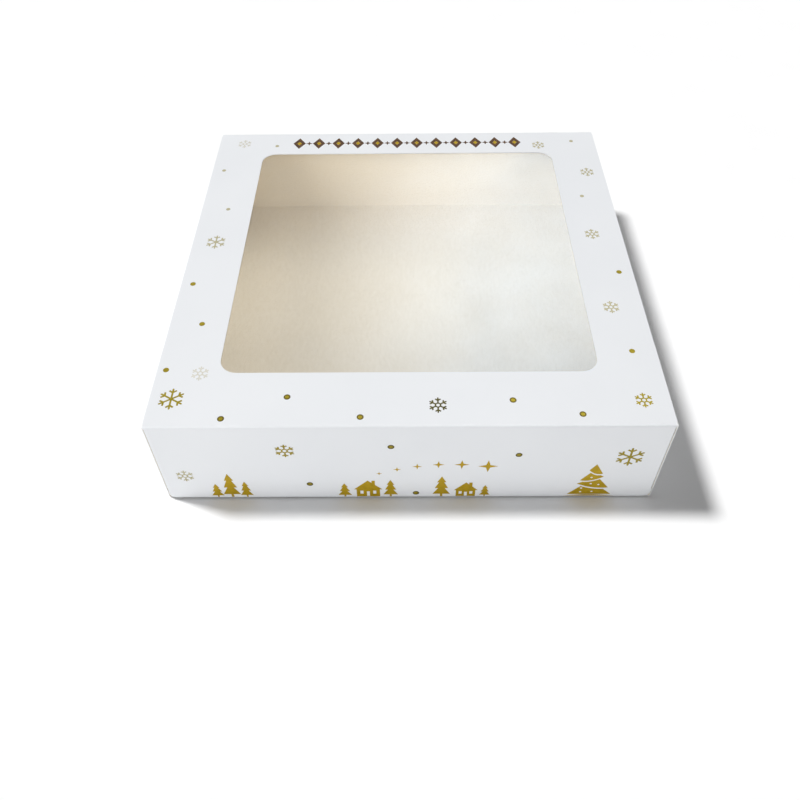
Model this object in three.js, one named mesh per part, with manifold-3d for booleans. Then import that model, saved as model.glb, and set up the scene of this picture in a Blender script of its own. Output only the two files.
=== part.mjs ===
// Cookie box: a one-piece folding carton. A tray with roll-over side walls carries a hinged lid with a
// film window, and the lid's front flap closes outside the tray with an ear in the slot of each side wall.
// Millimetres, +Z up, the front faces -Y, and the origin is under the middle of the floor.
import * as THREE from "three";
import { mergeVertices } from "three/addons/utils/BufferGeometryUtils.js";
import Module from "manifold-3d";

// Overall sizes
const BOX_WIDTH = 250;
const BOX_DEPTH = 250;
const BOX_HEIGHT = 60;

// Carton board and its folds
const BOARD = 0.5;
const GAP = 0.3; // between layers of board, and where one panel ends at the next one's fold
const FOLD_INNER = 0.5; // radius inside a fold
const FOLD_FOOT = 0.2; // flat margin that a folded panel keeps beyond its fold

// Lid and window
const LID_SIDE_INSET = 0.5; // lid's side edges inside the tray's
const LID_CORNER = 2;
const WINDOW_SIDE_MARGIN = 31; // box side to the window
const WINDOW_FRONT_MARGIN = 34;
const WINDOW_BACK_MARGIN = 24.5;
const WINDOW_CORNER = 9;
const FILM = 0.2;
const FILM_OVERLAP = 10; // film beyond the window's edge
const ADHESIVE = 0.1;
const ADHESIVE_MARGIN = 2; // adhesive inside the film's edge and outside the window's
const BOND_GAP = 0.02; // between bonded layers

// Front flap and its ears
const FLAP_LIFT = 1; // table to the flap's lower edge
const FLAP_CORNER = 3;
const EAR_LENGTH = 44; // box front to an ear's rear end
const EAR_LIFT = 8; // table to the lower end of an ear's fold
const EAR_DROP = 1.5; // lid to an ear's top edge at the fold
const EAR_TAPER = 4; // further drop of the top edge at the rear end
const EAR_CORNER = 6;

// Tray walls
const RIM_DEPTH = 2.5; // height of the folded rim over each side wall
const SLOT_CLEARANCE = 8; // ear's rear end to the rim
const FRONT_WALL_DROP = 0.7; // front wall below the rims
const WALL_CORNER = 2;
const FRONT_TAB_LENGTH = 75;
const BACK_TAB_LENGTH = 45;
const TAB_DROP = 1.5; // corner tabs below the rims
const TAB_TAPER = 6;
const TAB_CORNER = 5;

// Lock tabs of the inner walls, which stand in notches at the floor's edges
const LOCK_LENGTH = 28;
const LOCK_SPACING = 120;
const LOCK_TAPER = 1.5;
const LOCK_LIFT = 0.1; // table to the tip of a lock tab

// Facets and welding
const ARC_STEPS = 4;
const SWING_STEPS = 96;
const WELD = 0.0001;

// Places that follow from the sizes
const sideFace = BOX_WIDTH / 2;
const frontFace = -BOX_DEPTH / 2;
const backFace = BOX_DEPTH / 2;
const layer = BOARD + GAP;
const fold = FOLD_INNER + BOARD;
const foldReach = fold + FOLD_FOOT;
const seam = foldReach + GAP;
const lidUnderside = BOX_HEIGHT - BOARD;
const rimTop = lidUnderside - GAP;
const rimFoot = rimTop - RIM_DEPTH;

// Side wall layers from the outside in: outer wall, ear or back tab, front tab, inner wall
const earFace = sideFace - layer;
const frontTabFace = earFace - layer;
const innerWallFace = frontTabFace - layer;
const innerWallInside = innerWallFace - BOARD;
const trayFront = frontFace + layer;
const rimFront = frontFace + EAR_LENGTH + SLOT_CLEARANCE;
const rimBack = backFace - layer;
const tabFoot = fold + GAP;

// The flap turns about the middle of its fold's outer face
const creaseInset = fold * (1 - Math.SQRT1_2);
const flapPivot = new THREE.Vector2(frontFace + creaseInset, BOX_HEIGHT - creaseInset);

const wasm = await Module();
wasm.setup();

const printedBoard = new THREE.MeshStandardMaterial({ color: 0xeef1f5, roughness: 0.45, metalness: 0 });
const bareBoard = new THREE.MeshStandardMaterial({ color: 0xe6dcc6, roughness: 0.9, metalness: 0 });
const clearFilm = new THREE.MeshStandardMaterial({
  color: 0xf4f6f8,
  roughness: 0.08,
  metalness: 0,
  transparent: true,
  opacity: 0.25,
});
const dryAdhesive = new THREE.MeshStandardMaterial({ color: 0xeeeadb, roughness: 0.6, metalness: 0 });

// A closed outline through corners [x, y, radius], where a radius draws that corner as an arc
function outline(corners) {
  const shape = new THREE.Shape();
  corners.forEach(([x, y, radius = 0], index) => {
    const corner = new THREE.Vector2(x, y);
    if (radius === 0) {
      if (index === 0) shape.moveTo(x, y);
      else shape.lineTo(x, y);
      return;
    }
    const before = new THREE.Vector2(...corners.at(index - 1)).sub(corner).normalize();
    const after = new THREE.Vector2(...corners[(index + 1) % corners.length]).sub(corner).normalize();
    const halfAngle = Math.acos(before.dot(after)) / 2;
    const toCentre = before.clone().add(after).setLength(radius / Math.sin(halfAngle));
    const centre = corner.clone().add(toCentre);
    const reach = radius / Math.tan(halfAngle);
    const start = before.clone().multiplyScalar(reach).sub(toCentre).angle();
    const end = after.clone().multiplyScalar(reach).sub(toCentre).angle();
    const arcStart = [centre.x + radius * Math.cos(start), centre.y + radius * Math.sin(start)];
    if (index === 0) shape.moveTo(...arcStart);
    else shape.lineTo(...arcStart);
    shape.absarc(centre.x, centre.y, radius, start, end, before.cross(after) > 0);
  });
  return shape;
}

// The section of a folded strip of board. The path runs along the outer face, square at each fold,
// and the board lies on its left.
function boardSection(path, innerRadius = FOLD_INNER) {
  const points = path.map(([x, y]) => new THREE.Vector2(x, y));
  const normals = points.slice(1).map((point, index) => {
    const along = point.clone().sub(points[index]).normalize();
    return new THREE.Vector2(-along.y, along.x);
  });
  const outerRow = points.map((point, index) => {
    const folded = index > 0 && index < normals.length;
    return [point.x, point.y, folded ? innerRadius + BOARD : 0];
  });
  const innerRow = points.map((point, index) => {
    const folded = index > 0 && index < normals.length;
    const shift = (normals[index] ?? normals[index - 1]).clone();
    if (folded) shift.add(normals[index - 1]);
    return [point.x + shift.x * BOARD, point.y + shift.y * BOARD, folded ? innerRadius : 0];
  });
  return outline([...outerRow, ...innerRow.reverse()]);
}

function extrude(shape, length) {
  return new THREE.ExtrudeGeometry(shape, { depth: length, bevelEnabled: false, curveSegments: ARC_STEPS });
}

// A length of a section drawn in Y and Z
function alongX(section, start, end) {
  const axes = new THREE.Matrix4().makeBasis(
    new THREE.Vector3(0, 1, 0),
    new THREE.Vector3(0, 0, 1),
    new THREE.Vector3(1, 0, 0),
  );
  return extrude(section, end - start).applyMatrix4(axes).translate(start, 0, 0);
}

// A length of a section drawn in X and Z
function alongY(section, start, end) {
  return extrude(section, end - start).rotateX(Math.PI / 2).translate(0, end, 0);
}

// A length of a section drawn in X and Y
function alongZ(section, start, end) {
  return extrude(section, end - start).translate(0, 0, start);
}

function toSolid(geometry) {
  const bare = new THREE.BufferGeometry();
  bare.setAttribute("position", geometry.getAttribute("position"));
  bare.setIndex(geometry.getIndex());
  const merged = mergeVertices(bare, WELD);
  const vertProperties = merged.getAttribute("position").array;
  const triVerts = Uint32Array.from(merged.getIndex().array);
  return new wasm.Manifold(new wasm.Mesh({ numProp: 3, vertProperties, triVerts }));
}

// What all the given geometries have in common
function common(first, ...others) {
  const shared = others.reduce((sum, other) => sum.intersect(toSolid(other)), toSolid(first));
  const { vertProperties, triVerts } = shared.getMesh();
  const geometry = new THREE.BufferGeometry();
  geometry.setAttribute("position", new THREE.BufferAttribute(vertProperties, 3));
  geometry.setIndex(new THREE.BufferAttribute(triVerts, 1));
  const faceted = geometry.toNonIndexed();
  faceted.computeVertexNormals();
  return faceted;
}

function piece(name, geometry, material) {
  const mesh = new THREE.Mesh(geometry, material);
  mesh.name = name;
  return mesh;
}

function rectangle(halfWidth, front, back, radius) {
  return outline([
    [-halfWidth, front, radius],
    [halfWidth, front, radius],
    [halfWidth, back, radius],
    [-halfWidth, back, radius],
  ]);
}

// Corners along a side wall's top, drawn in Y and Z from the back to the front. It is full height
// beside the ear slot and steps down under the rim.
function wallTop(front, back) {
  return [
    [back, rimFoot - GAP],
    [rimFront - GAP, rimFoot - GAP],
    [rimFront - GAP, rimTop],
    [front, rimTop, WALL_CORNER],
  ];
}

// Floor, with two notches at each side for the lock tabs
const lockCentres = [-LOCK_SPACING / 2, LOCK_SPACING / 2];
const floorSide = sideFace - seam;
const floorFront = trayFront + seam;
const floorBack = backFace - seam;
const notchDepth = floorSide - innerWallInside + GAP;

function floorOutline() {
  const rightEdge = lockCentres.flatMap((centre) => [
    [floorSide, centre - LOCK_LENGTH / 2 - GAP],
    [floorSide - notchDepth, centre - LOCK_LENGTH / 2 - GAP],
    [floorSide - notchDepth, centre + LOCK_LENGTH / 2 + GAP],
    [floorSide, centre + LOCK_LENGTH / 2 + GAP],
  ]);
  const leftEdge = rightEdge.map(([x, y]) => [-x, y]).reverse();
  return outline([
    [floorSide, floorFront],
    ...rightEdge,
    [floorSide, floorBack],
    [-floorSide, floorBack],
    ...leftEdge,
    [-floorSide, floorFront],
  ]);
}

// Front and back walls fold up from the floor, and the back wall folds on over the top to the lid
const frontWallTop = rimTop - FRONT_WALL_DROP;
const frontWallEnd = frontTabFace - seam;
const backWallEnd = earFace - seam;
const frontWallSection = boardSection([
  [trayFront, frontWallTop],
  [trayFront, 0],
  [trayFront + foldReach, 0],
]);
const backWallSection = boardSection([
  [backFace - foldReach, 0],
  [backFace, 0],
  [backFace, BOX_HEIGHT],
  [backFace - foldReach, BOX_HEIGHT],
]);

const tray = new THREE.Group();
tray.add(
  piece("base_floor", alongZ(floorOutline(), 0, BOARD), bareBoard),
  piece("base_front_wall", alongX(frontWallSection, -frontWallEnd, frontWallEnd), bareBoard),
  piece("base_back_wall", alongX(backWallSection, -backWallEnd, backWallEnd), printedBoard),
);

// Pieces of one side of the tray, drawn for the right side
function traySide(side) {
  const outerSection = boardSection([
    [sideFace - foldReach, 0],
    [sideFace, 0],
    [sideFace, rimTop],
  ]);
  const outerOutline = outline([[trayFront, 0], [backFace, 0], ...wallTop(trayFront, backFace)]);
  const outerWall = common(
    alongY(outerSection, trayFront, backFace),
    alongX(outerOutline, sideFace - foldReach, sideFace),
  );

  const rimWidth = sideFace - innerWallInside;
  const rimFold = Math.min(FOLD_INNER, 0.4 * rimWidth - BOARD);
  const rimSection = boardSection(
    [
      [sideFace, rimFoot],
      [sideFace, rimTop],
      [innerWallInside, rimTop],
      [innerWallInside, rimFoot],
    ],
    rimFold,
  );

  const innerFront = trayFront + layer + GAP;
  const innerBack = backFace - layer - GAP;
  const lockEdge = lockCentres.flatMap((centre) => [
    [centre - LOCK_LENGTH / 2, layer],
    [centre - LOCK_LENGTH / 2 + LOCK_TAPER, LOCK_LIFT],
    [centre + LOCK_LENGTH / 2 - LOCK_TAPER, LOCK_LIFT],
    [centre + LOCK_LENGTH / 2, layer],
  ]);
  const innerOutline = outline([
    [innerFront, layer, WALL_CORNER],
    ...lockEdge,
    [innerBack, layer, WALL_CORNER],
    ...wallTop(innerFront, innerBack),
  ]);

  const tabTop = rimTop - TAB_DROP;
  const frontTabEnd = trayFront + FRONT_TAB_LENGTH;
  const frontTabSection = boardSection([
    [frontTabFace - foldReach, trayFront],
    [frontTabFace, trayFront],
    [frontTabFace, frontTabEnd],
  ]);
  const frontTabOutline = outline([
    [trayFront, tabFoot],
    [frontTabEnd, tabFoot + TAB_TAPER, TAB_CORNER],
    [frontTabEnd, tabTop - TAB_TAPER, TAB_CORNER],
    [trayFront, tabTop],
  ]);
  const frontTab = common(
    alongZ(frontTabSection, tabFoot, tabTop),
    alongX(frontTabOutline, frontTabFace - foldReach, frontTabFace),
  );

  const backTabEnd = backFace - BACK_TAB_LENGTH;
  const backTabSection = boardSection([
    [earFace, backTabEnd],
    [earFace, backFace],
    [earFace - foldReach, backFace],
  ]);
  const backTabOutline = outline([
    [backTabEnd, tabFoot + TAB_TAPER, TAB_CORNER],
    [backFace, tabFoot],
    [backFace, tabTop],
    [backTabEnd, tabTop - TAB_TAPER, TAB_CORNER],
  ]);
  const backTab = common(
    alongZ(backTabSection, tabFoot, tabTop),
    alongX(backTabOutline, earFace - foldReach, earFace),
  );

  const group = new THREE.Group();
  group.add(
    piece(`${side}_outer_wall`, outerWall, printedBoard),
    piece(`${side}_top_rim`, alongY(rimSection, rimFront, rimBack), printedBoard),
    piece(`${side}_inner_wall`, alongX(innerOutline, innerWallInside, innerWallFace), bareBoard),
    piece(`front_${side}_tab`, frontTab, bareBoard),
    piece(`back_${side}_tab`, backTab, bareBoard),
  );
  return group;
}

// Lid panel with the window, and the film bonded under it
const windowSide = sideFace - WINDOW_SIDE_MARGIN;
const windowFront = frontFace + WINDOW_FRONT_MARGIN;
const windowBack = backFace - WINDOW_BACK_MARGIN;
const lidOutline = rectangle(sideFace - LID_SIDE_INSET, frontFace + seam, backFace - seam, LID_CORNER);
lidOutline.holes.push(rectangle(windowSide, windowFront, windowBack, WINDOW_CORNER));

const bondOuter = FILM_OVERLAP - ADHESIVE_MARGIN;
const bondOutline = rectangle(
  windowSide + bondOuter,
  windowFront - bondOuter,
  windowBack + bondOuter,
  WINDOW_CORNER + bondOuter,
);
bondOutline.holes.push(
  rectangle(
    windowSide + ADHESIVE_MARGIN,
    windowFront - ADHESIVE_MARGIN,
    windowBack + ADHESIVE_MARGIN,
    WINDOW_CORNER + ADHESIVE_MARGIN,
  ),
);
const bondTop = lidUnderside - BOND_GAP;
const filmTop = bondTop - ADHESIVE - BOND_GAP;
const filmOutline = rectangle(
  windowSide + FILM_OVERLAP,
  windowFront - FILM_OVERLAP,
  windowBack + FILM_OVERLAP,
  WINDOW_CORNER,
);

const lid = new THREE.Group();
lid.add(
  piece("lid_panel", alongZ(lidOutline, lidUnderside, BOX_HEIGHT), printedBoard),
  piece("window_adhesive", alongZ(bondOutline, bondTop - ADHESIVE, bondTop), dryAdhesive),
  piece("window_film", alongZ(filmOutline, filmTop - FILM, filmTop), clearFilm),
);

// Front flap, folded down from the lid, wider below the ears' folds and round at its lower corners
const flapSide = earFace - seam;
const cheekSide = earFace - GAP;
const cheekTop = EAR_LIFT - GAP;
const flapSection = boardSection([
  [frontFace + foldReach, BOX_HEIGHT],
  [frontFace, BOX_HEIGHT],
  [frontFace, FLAP_LIFT],
]);
const flapOutline = outline([
  [-cheekSide, FLAP_LIFT, FLAP_CORNER],
  [cheekSide, FLAP_LIFT, FLAP_CORNER],
  [cheekSide, cheekTop],
  [flapSide, cheekTop],
  [flapSide, BOX_HEIGHT],
  [-flapSide, BOX_HEIGHT],
  [-flapSide, cheekTop],
  [-cheekSide, cheekTop],
]);
const flap = new THREE.Group();
flap.add(
  piece(
    "front_flap",
    common(
      alongX(flapSection, -cheekSide, cheekSide),
      alongY(flapOutline, frontFace, frontFace + foldReach),
    ),
    printedBoard,
  ),
);

// An ear, drawn for the right side. Its lower edge is an arc about the flap's fold, so that it stays
// above the floor as the flap swings out.
function ear(side) {
  const rear = frontFace + EAR_LENGTH;
  const top = lidUnderside - EAR_DROP;
  const section = boardSection([
    [earFace - foldReach, frontFace],
    [earFace, frontFace],
    [earFace, rear],
  ]);
  const plainOutline = outline([
    [frontFace, EAR_LIFT],
    [rear, EAR_LIFT],
    [rear, top - EAR_TAPER, EAR_CORNER],
    [frontFace, top],
  ]);
  const swingRadius = flapPivot.y - EAR_LIFT;
  const swing = new THREE.CylinderGeometry(swingRadius, swingRadius, BOX_WIDTH, SWING_STEPS);
  const geometry = common(
    alongZ(section, EAR_LIFT, top),
    alongX(plainOutline, earFace - foldReach, earFace),
    swing.rotateZ(Math.PI / 2).translate(earFace, flapPivot.x, flapPivot.y),
  );
  return piece(`${side}_ear`, geometry, printedBoard);
}

// The left side mirrors the right one
const rightSide = new THREE.Group();
rightSide.add(traySide("right"), ear("right"));
const leftSide = new THREE.Group();
leftSide.scale.x = -1;
leftSide.add(traySide("left"), ear("left"));

const cookieBox = new THREE.Group();
cookieBox.add(tray, lid, flap, rightSide, leftSide);

export default cookieBox;
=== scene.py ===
"""Cookie box: a folding carton with a film window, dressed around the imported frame.

The carton's lengths are in millimetres and become metres when a mesh is made. The floor's size and the
places of the lamps are in metres. The front faces -Y.
"""
import math

import bmesh
import bpy
from mathutils import Matrix, Vector
from mathutils.geometry import tessellate_polygon


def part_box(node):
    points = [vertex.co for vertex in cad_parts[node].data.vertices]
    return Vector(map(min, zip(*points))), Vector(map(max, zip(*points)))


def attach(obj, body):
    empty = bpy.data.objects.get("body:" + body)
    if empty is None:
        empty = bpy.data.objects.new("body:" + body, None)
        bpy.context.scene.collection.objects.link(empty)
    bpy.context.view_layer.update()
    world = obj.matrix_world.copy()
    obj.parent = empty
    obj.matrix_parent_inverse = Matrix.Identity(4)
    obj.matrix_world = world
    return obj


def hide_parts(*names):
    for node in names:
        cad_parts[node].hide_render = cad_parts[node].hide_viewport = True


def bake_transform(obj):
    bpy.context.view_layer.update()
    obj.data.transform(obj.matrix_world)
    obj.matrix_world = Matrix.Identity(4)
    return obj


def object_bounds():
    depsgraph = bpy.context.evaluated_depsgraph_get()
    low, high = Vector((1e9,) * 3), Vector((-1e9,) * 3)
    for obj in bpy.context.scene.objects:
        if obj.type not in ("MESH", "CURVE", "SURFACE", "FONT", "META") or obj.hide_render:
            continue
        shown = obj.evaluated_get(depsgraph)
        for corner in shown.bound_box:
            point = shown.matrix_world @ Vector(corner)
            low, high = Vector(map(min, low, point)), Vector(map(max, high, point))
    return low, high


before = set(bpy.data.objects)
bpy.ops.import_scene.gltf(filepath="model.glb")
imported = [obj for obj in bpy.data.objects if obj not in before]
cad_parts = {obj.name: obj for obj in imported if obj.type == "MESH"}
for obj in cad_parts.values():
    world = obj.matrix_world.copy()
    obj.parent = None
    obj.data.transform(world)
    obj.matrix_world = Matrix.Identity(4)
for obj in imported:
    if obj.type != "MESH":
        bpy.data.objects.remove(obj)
cad_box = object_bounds()

MM = 0.001


def box_mm(name):
    low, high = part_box(name)
    return low / MM, high / MM


# The foil stands this far over the board, which stays inside the frame by as much
INK = 0.03

# Outside faces of the carton
SIDE = cad_box[1][0] / MM - INK
FRONT = cad_box[0][1] / MM + INK
BACK = cad_box[1][1] / MM - INK
TOP = cad_box[1][2] / MM - INK

# Board and its folds, and the clearance between two layers
BOARD = 0.5
FOLD = 1.0
FOOT = 0.2
GAP = 0.3

# Layers of the side walls, from the outside in
EAR_FACE = box_mm("right_ear")[1].x
TAB_FACE = box_mm("front_right_tab")[1].x
INNER_FACE = box_mm("right_inner_wall")[0].x

# Tray
TRAY_FRONT = box_mm("base_front_wall")[0].y
FRONT_WALL_TOP = box_mm("base_front_wall")[1].z
RIM_FRONT, RIM_BACK = (corner.y for corner in box_mm("right_top_rim"))
RIM_FOOT, RIM_TOP = (corner.z for corner in box_mm("right_top_rim"))
INNER_FRONT, INNER_BACK = (corner.y for corner in box_mm("right_inner_wall"))
CORNER_CUT = 1.5
LOCK_TIP = box_mm("right_inner_wall")[0].z
LOCKS = (-60.0, 60.0)
LOCK_LENGTH = 28.0
LOCK_TAPER = 1.5
FRONT_TAB_END = box_mm("front_right_tab")[1].y
BACK_TAB_END = box_mm("back_right_tab")[0].y
TAB_LOW = box_mm("front_right_tab")[0].z
TAB_TAPER = 6.0
TAB_CORNER = 5.0

# Lid, window and film
LID_SIDE = box_mm("lid_panel")[1].x
LID_CORNER = 0.5
FILM_LOW, FILM_HIGH = box_mm("window_film")
FILM_OVERLAP = 10.0
WINDOW_SIDE = FILM_HIGH.x - FILM_OVERLAP
WINDOW_FRONT = FILM_LOW.y + FILM_OVERLAP
WINDOW_BACK = FILM_HIGH.y - FILM_OVERLAP
WINDOW_CORNER = 9.0
BOND_LOW, BOND_HIGH = box_mm("window_adhesive")
BOND_INSIDE = 2.0
BOND_OUTSIDE = 8.0

# Slack of the film, how far in from the window's edge it is reached, and its waves as (rate, start)
FILM_SAG = 0.35
FILM_SAG_REACH = 40.0
FILM_WAVE = 0.6
FILM_WAVE_X = (0.043, 0.9)
FILM_WAVE_Y = (0.037, 0.4)

# Front flap and ears
FLAP_LIFT = box_mm("front_flap")[0].z
FLAP_CHEEK = box_mm("front_flap")[1].x
FLAP_CORNER = 3.0
EAR_LIFT, EAR_TOP = (corner.z for corner in box_mm("right_ear"))
EAR_REAR = box_mm("right_ear")[1].y
EAR_DROP = 4.0
EAR_CORNER = 6.0

# A moving crease is a strip of board that reaches this far along both panels
CREASE = 2.4
CREASE_Z = TOP - CREASE
CREASE_END_INSETS = (0.02, 0.07, 0.15, 0.3, 0.5, FOLD)

# Short runs in which an edge steps from one height to another, and the least share of a tab's width
RIM_JOG = 0.2
LOCK_JOG = 0.01
TAB_LEAST_SHARE = 0.02

# Fineness of the meshes: stations along a panel, and spans across each leg of its section
LID_RINGS = 10
BOND_RINGS = 3
FILM_STEPS = 52
FLAP_COLUMNS = 60
FLAP_ROWS = 16
EAR_STEPS = 60
CREASE_STEPS = 60
END_WALL_STEPS = 40
OUTER_WALL_STEPS = 42
RIM_STEPS = 30
INNER_WALL_STEPS = 40
TAB_STEPS = 48
WALL_SPANS = 10
TAB_SPANS = 8
CREASE_SPANS = 3
FOLD_STEPS = 6

# The flap's even rows start this far over the lower edge of its ears
FLAP_ROW_START = 4.0

# Edges that turn by more degrees than this look sharp
SHARP_ANGLE = 35


def clamp(value, low=0.0, high=1.0):
    return max(low, min(high, value))


def smooth(value):
    t = clamp(value)
    return t * t * (3 - 2 * t)


def steps(low, high, count, extra=()):
    """Evenly spread stations, with extra ones put in."""
    values = [low + (high - low) * i / count for i in range(count + 1)]
    return sorted(values + list(extra))


# Materials

# The part of a noise factor that a colour run or a range of values takes up
COLOUR_RUN = (0.3, 0.7)
VALUE_RUN = (0.25, 0.75)

# Reflection of the film: its least, what a low angle adds, and how fast that sets in
FILM_LEAST = 0.045
FILM_GRAZING = 0.3
FILM_ONSET = 5.0


def new_material(name):
    material = bpy.data.materials.new(name)
    material.use_nodes = True
    tree = material.node_tree
    return material, tree, tree.nodes["Principled BSDF"]


def noise(tree, scale, detail=3.0, stretch=(1, 1, 1)):
    """Noise in object space, in cycles per metre, stretched along the axes."""
    place = tree.nodes.new("ShaderNodeTexCoord")
    mapping = tree.nodes.new("ShaderNodeMapping")
    mapping.inputs["Scale"].default_value = stretch
    texture = tree.nodes.new("ShaderNodeTexNoise")
    texture.inputs["Scale"].default_value = scale
    texture.inputs["Detail"].default_value = detail
    tree.links.new(place.outputs["Object"], mapping.inputs["Vector"])
    tree.links.new(mapping.outputs["Vector"], texture.inputs["Vector"])
    return texture.outputs["Fac"]


def ramp(tree, factor, dark, light):
    """The factor's middle stretch mapped to a run of colour."""
    made = tree.nodes.new("ShaderNodeValToRGB")
    for element, position, colour in zip(made.color_ramp.elements, COLOUR_RUN, (dark, light)):
        element.position = position
        element.color = (*colour, 1)
    tree.links.new(factor, made.inputs["Fac"])
    return made.outputs["Color"]


def spread(tree, factor, low, high):
    """The factor's middle half mapped to a range of values."""
    made = tree.nodes.new("ShaderNodeMapRange")
    made.inputs["From Min"].default_value = VALUE_RUN[0]
    made.inputs["From Max"].default_value = VALUE_RUN[1]
    made.inputs["To Min"].default_value = low
    made.inputs["To Max"].default_value = high
    tree.links.new(factor, made.inputs["Value"])
    return made.outputs["Result"]


def math_node(tree, operation, first, *values):
    made = tree.nodes.new("ShaderNodeMath")
    made.operation = operation
    made.use_clamp = True
    tree.links.new(first, made.inputs[0])
    for index, value in enumerate(values, 1):
        if isinstance(value, bpy.types.NodeSocket):
            tree.links.new(value, made.inputs[index])
        else:
            made.inputs[index].default_value = value
    return made.outputs["Value"]


def bump(tree, shader, factor, strength, distance):
    made = tree.nodes.new("ShaderNodeBump")
    made.inputs["Strength"].default_value = strength
    made.inputs["Distance"].default_value = distance
    tree.links.new(factor, made.inputs["Height"])
    tree.links.new(made.outputs["Normal"], shader.inputs["Normal"])


def coated_board():
    material, tree, shader = new_material("coated_board")
    tone = ramp(tree, noise(tree, 16), (0.790, 0.808, 0.832), (0.815, 0.832, 0.854))
    tree.links.new(tone, shader.inputs["Base Color"])
    tree.links.new(spread(tree, noise(tree, 260), 0.42, 0.54), shader.inputs["Roughness"])
    bump(tree, shader, noise(tree, 2600, 5), 0.06, 0.0001)
    shader.inputs["Specular IOR Level"].default_value = 0.35
    return material


def bare_board():
    material, tree, shader = new_material("bare_board")
    fibres = noise(tree, 900, 6, (1, 0.35, 1))
    tone = ramp(tree, fibres, (0.745, 0.652, 0.478), (0.795, 0.707, 0.54))
    tree.links.new(tone, shader.inputs["Base Color"])
    tree.links.new(spread(tree, noise(tree, 500), 0.8, 0.95), shader.inputs["Roughness"])
    bump(tree, shader, fibres, 0.12, 0.0002)
    shader.inputs["Specular IOR Level"].default_value = 0.15
    return material


def cut_edge():
    material, tree, shader = new_material("cut_edge")
    plies = noise(tree, 2400, 4, (1, 1, 3))
    tone = ramp(tree, plies, (0.87, 0.87, 0.86), (0.92, 0.925, 0.925))
    tree.links.new(tone, shader.inputs["Base Color"])
    tree.links.new(spread(tree, plies, 0.85, 1.0), shader.inputs["Roughness"])
    bump(tree, shader, plies, 0.4, 0.0001)
    return material


def foil(name, dark, light):
    material, tree, shader = new_material(name)
    tone = ramp(tree, noise(tree, 420, 4), dark, light)
    tree.links.new(tone, shader.inputs["Base Color"])
    tree.links.new(spread(tree, noise(tree, 900), 0.30, 0.44), shader.inputs["Roughness"])
    bump(tree, shader, noise(tree, 700, 3), 0.15, 0.0002)
    shader.inputs["Metallic"].default_value = 0.35
    shader.inputs["Specular IOR Level"].default_value = 0.2
    return material


def clear_film():
    """A clear sheet: mostly see-through, with more of its reflection at a low angle."""
    material, tree, shader = new_material("clear_film")
    shader.inputs["Base Color"].default_value = (0.95, 0.955, 0.965, 1)
    shader.inputs["Metallic"].default_value = 1.0
    tree.links.new(spread(tree, noise(tree, 40), 0.34, 0.40), shader.inputs["Roughness"])
    view = tree.nodes.new("ShaderNodeLayerWeight")
    view.inputs["Blend"].default_value = 0.5
    grazing = math_node(tree, "POWER", view.outputs["Facing"], FILM_ONSET)
    veil = math_node(tree, "MULTIPLY_ADD", grazing, FILM_GRAZING, FILM_LEAST)
    tree.links.new(veil, shader.inputs["Alpha"])
    return material


def dry_adhesive():
    material, tree, shader = new_material("dry_adhesive")
    beads = noise(tree, 700, 4)
    tone = ramp(tree, beads, (0.76, 0.72, 0.62), (0.86, 0.84, 0.77))
    tree.links.new(tone, shader.inputs["Base Color"])
    tree.links.new(spread(tree, beads, 0.35, 0.6), shader.inputs["Roughness"])
    bump(tree, shader, beads, 0.3, 0.0002)
    return material


COATED = coated_board()
BARE = bare_board()
EDGE = cut_edge()
BOARD_FACES = (COATED, BARE, EDGE)
FOILS = {
    "gold": foil("gold_foil", (0.40, 0.265, 0.003), (0.49, 0.325, 0.006)),
    # A darker gold; on the lid's front its darkness is painted dark reflection of the foil.
    "dull": foil("dull_gold_foil", (0.25, 0.195, 0.008), (0.33, 0.255, 0.015)),
    # Paler gold: painted reflection of bright light on the foil.
    "pale": foil("pale_gold_foil", (0.40, 0.37, 0.22), (0.48, 0.44, 0.30)),
    # Nearly white gold: painted glare, a reflection of bright light on the foil.
    "worn": foil("worn_gold_foil", (0.58, 0.56, 0.49), (0.66, 0.645, 0.58)),
    # Very dark olive gold: painted dark reflection of the foil on the lid's front.
    "olive": foil("olive_foil", (0.045, 0.040, 0.006), (0.08, 0.068, 0.010)),
    # Dark ring round each dot: painted shade at its edge.
    "rim": foil("rim_foil", (0.085, 0.064, 0.001), (0.125, 0.094, 0.002)),
    # Dark brown gold for the lid's band: painted dark reflection of the foil.
    "bronze": foil("bronze_foil", (0.045, 0.021, 0.008), (0.12, 0.056, 0.022)),
}
FILM = clear_film()
ADHESIVE = dry_adhesive()


# Meshes


def make_object(name, vertices, faces, materials, slots):
    mesh = bpy.data.meshes.new(name)
    mesh.from_pydata([Vector(v) * MM for v in vertices], [], faces)
    for material in materials:
        mesh.materials.append(material)
    mesh.polygons.foreach_set("material_index", slots)
    work = bmesh.new()
    work.from_mesh(mesh)
    bmesh.ops.recalc_face_normals(work, faces=work.faces)
    work.to_mesh(mesh)
    work.free()
    mesh.polygons.foreach_set("use_smooth", [True] * len(mesh.polygons))
    mesh.set_sharp_from_angle(angle=math.radians(SHARP_ANGLE))
    made = bpy.data.objects.new(name, mesh)
    bpy.context.scene.collection.objects.link(made)
    return made


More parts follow.
